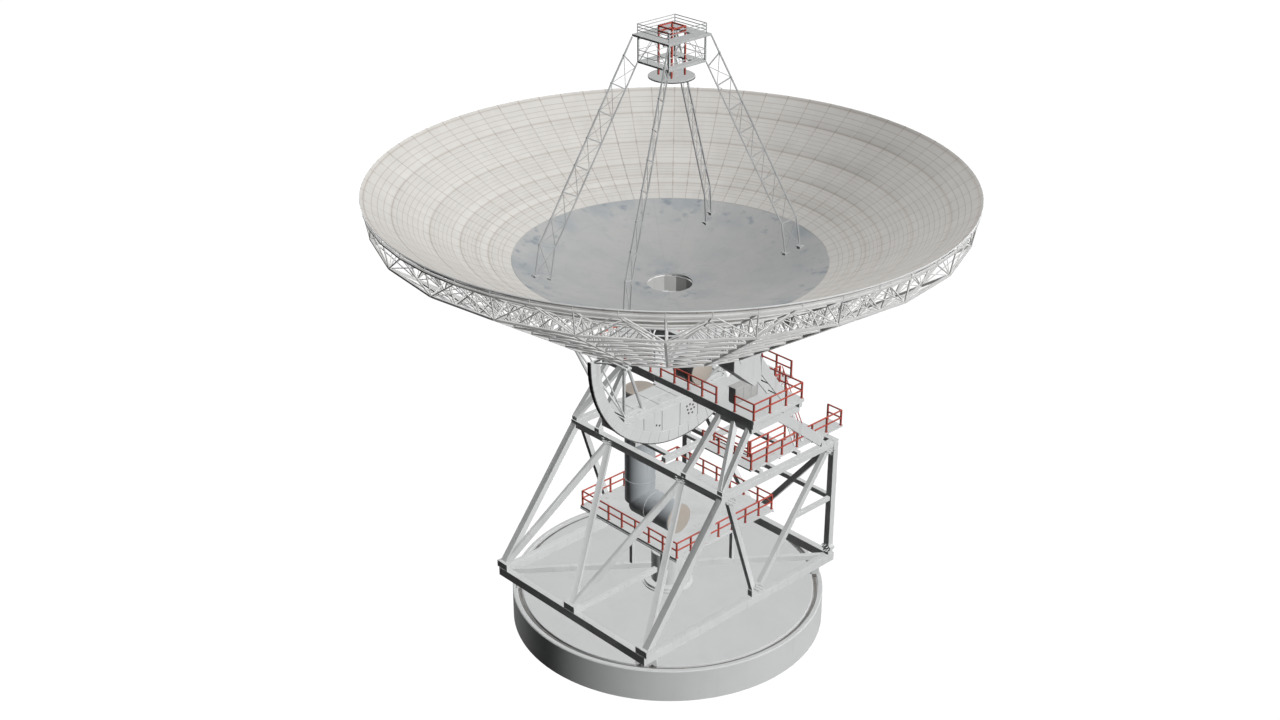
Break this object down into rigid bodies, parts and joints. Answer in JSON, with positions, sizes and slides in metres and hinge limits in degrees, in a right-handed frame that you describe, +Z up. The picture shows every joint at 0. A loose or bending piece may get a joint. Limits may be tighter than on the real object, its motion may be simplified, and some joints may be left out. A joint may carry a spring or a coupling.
{
  "type": "radio telescope dish",
  "caption": "Steerable dish antenna: bowl reflector with four-legged apex frame on a wheeled steel alidade above a round concrete pedestal.",
  "frame": {"origin": "centre of the pedestal at ground level", "axes": "+Z up, +X along the elevation axis, -Y the way the dish tips"},
  "size_m": [34.0002, 34.0002, 37],
  "materials": {
    "white_paint": "satin painted steel, slightly weathered",
    "panel_paint": "matt white panel paint",
    "inner_paint": "matt grey panel paint with bluish stains",
    "grey_paint": "satin grey paint",
    "concrete": "trowelled concrete",
    "track_steel": "rolled steel worn by the wheels",
    "red_paint": "satin red paint",
    "mirror_plate": "pale coated metal"
  },
  "bodies": {
    "pedestal": {"pedestal_wall": "concrete", "pedestal_roof": "concrete", "azimuth_track": "track_steel", "azimuth_collar": "white_paint"},
    "alidade": {"base_frame": "white_paint", "wheel_truck_front_left": "white_paint", "wheel_truck_front_right": "white_paint", "wheel_truck_back_left": "white_paint", "wheel_truck_back_right": "white_paint", "front_truss": "white_paint", "back_truss": "white_paint", "side_truss_left": "white_paint", "side_truss_right": "white_paint", "tower_left": "white_paint", "tower_right": "white_paint", "top_deck_left": "white_paint", "top_deck_right": "white_paint", "lower_deck": "white_paint", "upper_walk": "white_paint", "top_rail_left": "red_paint", "top_rail_right": "red_paint", "lower_rail": "red_paint", "walk_rail": "red_paint", "drive_girder": "white_paint", "bearing_left": "white_paint", "bearing_right": "white_paint", "waveguide_tube": "white_paint", "level_mirror": "mirror_plate", "top_mirror": "mirror_plate", "beam_drum": "grey_paint", "deck_cabinet_left": "grey_paint", "deck_cabinet_right": "grey_paint"},
    "reflector": {"outer_panels_1": "panel_paint", "outer_panels_2": "panel_paint", "outer_panels_3": "panel_paint", "outer_panels_4": "panel_paint", "outer_panels_5": "panel_paint", "outer_panels_6": "panel_paint", "inner_panels_1": "inner_paint", "inner_panels_2": "inner_paint", "centre_tube": "white_paint", "back_structure_1": "white_paint", "back_structure_2": "white_paint", "back_structure_3": "white_paint", "back_structure_4": "white_paint", "back_structure_5": "white_paint", "back_structure_6": "white_paint", "hub_frame": "white_paint", "elevation_wheel": "white_paint", "counterweight": "white_paint", "wheel_yoke": "white_paint", "leg_front_left": "white_paint", "leg_front_right": "white_paint", "leg_back_left": "white_paint", "leg_back_right": "white_paint", "apex_platform": "white_paint", "apex_rail": "white_paint", "subreflector": "white_paint", "positioner_cage": "red_paint"}
  },
  "joints": [
    {"name": "azimuth", "type": "hinge", "parent": "pedestal", "child": "alidade", "pos_m": [0, 0, 0], "axis": [0, 0, 1], "range_deg": [-225, 225]},
    {"name": "elevation", "type": "hinge", "parent": "alidade", "child": "reflector", "pos_m": [0, 0, 19.35], "axis": [1, 0, 0], "range_deg": [0, 84]}
  ]
}
